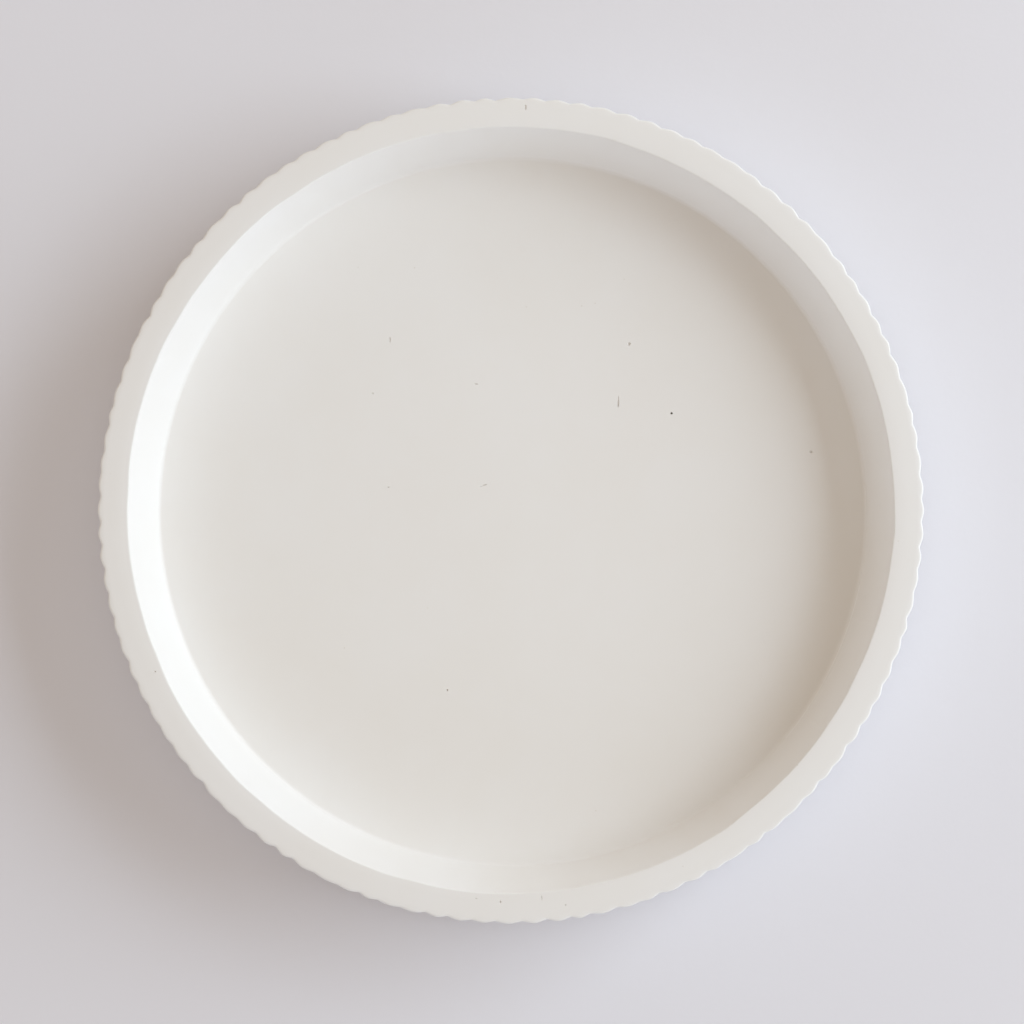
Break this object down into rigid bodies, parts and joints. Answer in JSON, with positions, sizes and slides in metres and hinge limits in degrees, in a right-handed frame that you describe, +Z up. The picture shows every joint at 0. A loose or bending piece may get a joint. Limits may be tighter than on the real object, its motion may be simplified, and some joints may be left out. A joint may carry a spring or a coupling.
{
  "type": "shallow round dish",
  "caption": "Shallow round dish cast in a matt off-white mineral compound, with a broad flat rim, a flat floor and a fluted outer side, on stick-on rubber feet.",
  "frame": {"origin": "on the surface the feet stand on, under the middle of the dish", "axes": "+Z up along the dish's axis, out of its mouth; +X and +Y through flute crests, +X to the right and +Y to the back when seen from the front"},
  "size_m": [0.15, 0.15, 0.0236],
  "materials": {
    "cast_mineral": "matte",
    "foot_rubber": "matte",
    "adhesive": "satin"
  },
  "bodies": {
    "root": {"dish_casting": "cast_mineral", "foot_pad_front_left": "foot_rubber", "foot_pad_front_right": "foot_rubber", "foot_pad_back_left": "foot_rubber", "foot_pad_back_right": "foot_rubber", "adhesive_disc_front_left": "adhesive", "adhesive_disc_front_right": "adhesive", "adhesive_disc_back_left": "adhesive", "adhesive_disc_back_right": "adhesive"}
  },
  "joints": []
}
